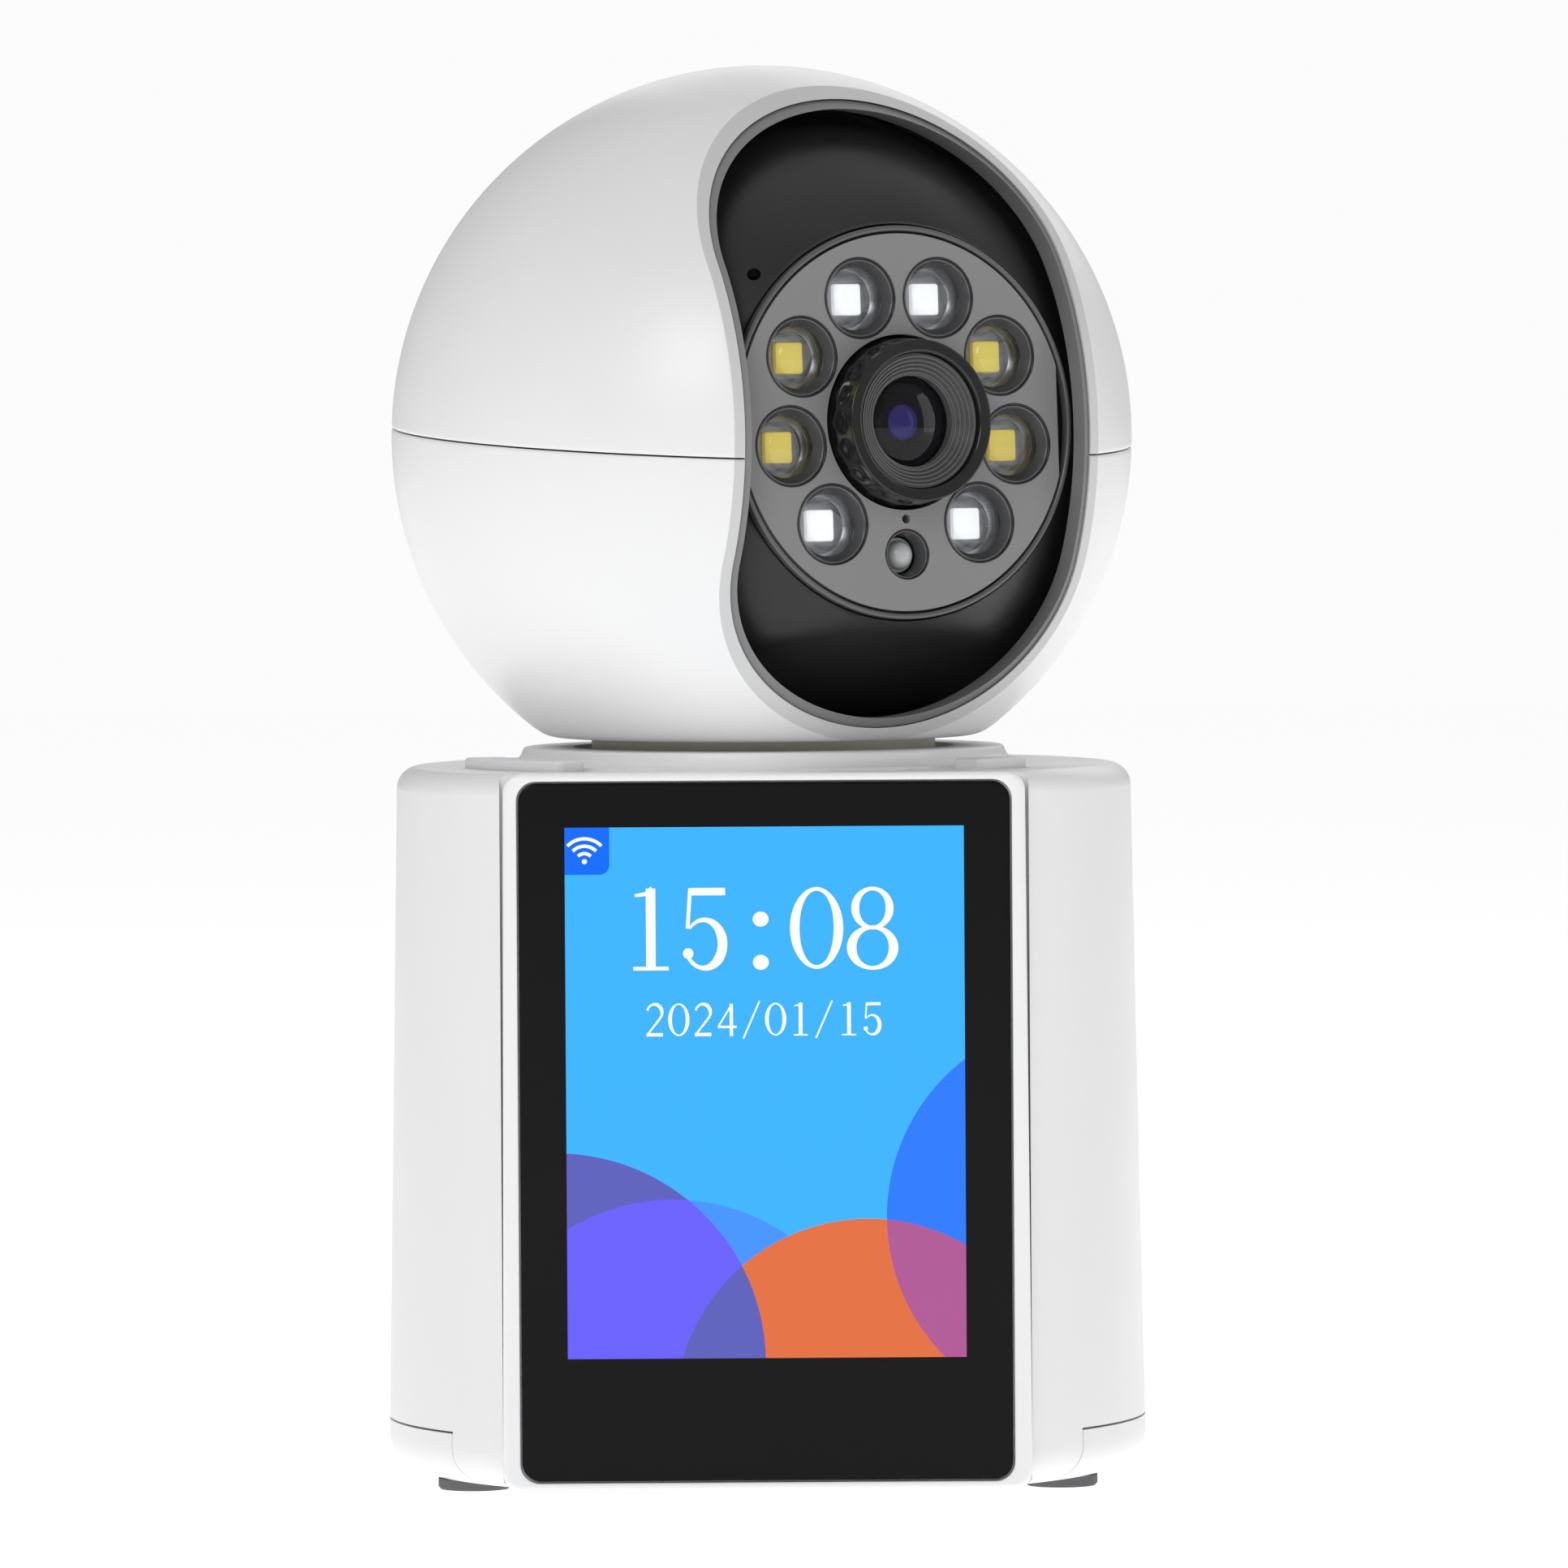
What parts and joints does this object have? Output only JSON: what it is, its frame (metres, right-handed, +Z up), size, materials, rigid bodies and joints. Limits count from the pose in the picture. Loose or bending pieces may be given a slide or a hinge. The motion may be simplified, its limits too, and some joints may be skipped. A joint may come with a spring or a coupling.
{
  "type": "smart display",
  "caption": "Desk smart display: round base with a portrait colour screen, and a ball camera that pans on it and tilts its lamp-ringed eye.",
  "frame": {"origin": "middle of the footprint at the table, under the pan axis", "axes": "+Z up along the pan axis, the screen faces -Y, +X to the right as the screen is read from in front, towards the viewer's right"},
  "size_m": [0.0838, 0.0828, 0.1561],
  "materials": {
    "shell_white": "satin moulded ABS, very fine spark texture",
    "bezel_white": "polished white plastic",
    "cover_glass": "glossy black-printed cover glass",
    "screen": "lit colour display",
    "reflector": "white diffuser film",
    "board_green": "green solder mask",
    "steel": "zinc plated",
    "antenna_copper": "etched copper",
    "acetal": "natural acetal",
    "rubber_dark": "matte rubber",
    "trim_grey": "satin dark grey",
    "eye_black": "fine grained black",
    "plate_grey": "matte grey",
    "lens_black": "gloss black",
    "lens_glass": "coated glass",
    "lamp_clear": "clear moulded lens",
    "lamp_white": "white phosphor",
    "lamp_warm": "warm phosphor",
    "cable_black": "soft insulation"
  },
  "bodies": {
    "base": {"base_shell": "shell_white", "bottom_cover": "shell_white", "rubber_feet": "rubber_dark", "cover_screws": "steel", "screen_bezel": "bezel_white", "screen_glass": "cover_glass", "lcd_panel": "screen", "backlight": "reflector", "main_board": "board_green", "shield_can": "steel", "board_screws": "steel", "wifi_antenna": "antenna_copper", "speaker_basket": "steel", "speaker_cone": "eye_black", "inlet_board": "board_green", "usb_inlet": "steel", "key_board": "board_green", "key_switches": "eye_black", "neck_collar": "shell_white", "pan_bush": "acetal", "motor_bracket": "steel", "bracket_screws": "steel", "pan_motor": "steel"},
    "pan_drive": {"pan_motor_shaft": "steel", "pan_pinion": "acetal"},
    "call_key": {"call_key": "shell_white"},
    "power_key": {"power_key": "shell_white"},
    "reset_button": {"reset_button": "trim_grey"},
    "head": {"upper_shell": "shell_white", "lower_shell": "shell_white", "window_trim": "trim_grey", "shell_screws": "steel", "screw_plugs": "shell_white", "pan_hub": "acetal", "hub_screws": "steel", "pan_gear": "acetal", "gear_clip": "steel", "wire_bundle": "cable_black", "left_arm": "eye_black", "right_arm": "eye_black", "chassis_screws": "steel", "tilt_gear": "acetal", "head_board": "board_green"},
    "eye": {"eye_housing": "eye_black", "faceplate": "plate_grey", "faceplate_rim": "lens_black", "trunnions": "acetal", "lamp_board": "board_green", "lamp_lenses": "lamp_clear", "white_lamps": "lamp_white", "warm_lamps": "lamp_warm", "light_sensor": "lamp_clear", "microphone": "steel", "lens_barrel": "lens_black", "lens_ring": "lens_black", "front_lens": "lens_glass", "lens_holder": "eye_black", "sensor_board": "board_green", "tilt_motor": "steel"},
    "tilt_drive": {"tilt_pinion": "acetal"}
  },
  "joints": [
    {"name": "head_pan", "type": "hinge", "parent": "base", "child": "head", "pos_m": [0, 0, 0.1152], "axis": [0, 0, 1], "range_deg": [-205, 145]},
    {"name": "eye_tilt", "type": "hinge", "parent": "head", "child": "eye", "pos_m": [0, 0, 0.1152], "axis": [-0.866, -0.5, 0], "range_deg": [-23, 62]},
    {"name": "pan_drive_turn", "type": "hinge", "parent": "base", "child": "pan_drive", "pos_m": [-0.01871, 0.0108, 0.066], "axis": [0, 0, 1], "range_deg": [-420, 590]},
    {"name": "tilt_drive_turn", "type": "hinge", "parent": "eye", "child": "tilt_drive", "pos_m": [0.00183, -0.00317, 0.13242], "axis": [-0.866, -0.5, 0], "range_deg": [-52, 136]},
    {"name": "call_press", "type": "slide", "parent": "base", "child": "call_key", "axis": [0, 0, -1], "range_m": [0, 0.0006], "stiffness_N_per_m": 600},
    {"name": "power_press", "type": "slide", "parent": "base", "child": "power_key", "axis": [0, 0, -1], "range_m": [0, 0.0006], "stiffness_N_per_m": 600},
    {"name": "reset_press", "type": "slide", "parent": "base", "child": "reset_button", "axis": [0.342, -0.9397, 0], "range_m": [0, 0.0005], "stiffness_N_per_m": 600}
  ],
  "couplings": [
    {"joint": "pan_drive_turn", "follows": "head_pan", "ratio": -2.8571},
    {"joint": "tilt_drive_turn", "follows": "eye_tilt", "ratio": 2.1429}
  ]
}
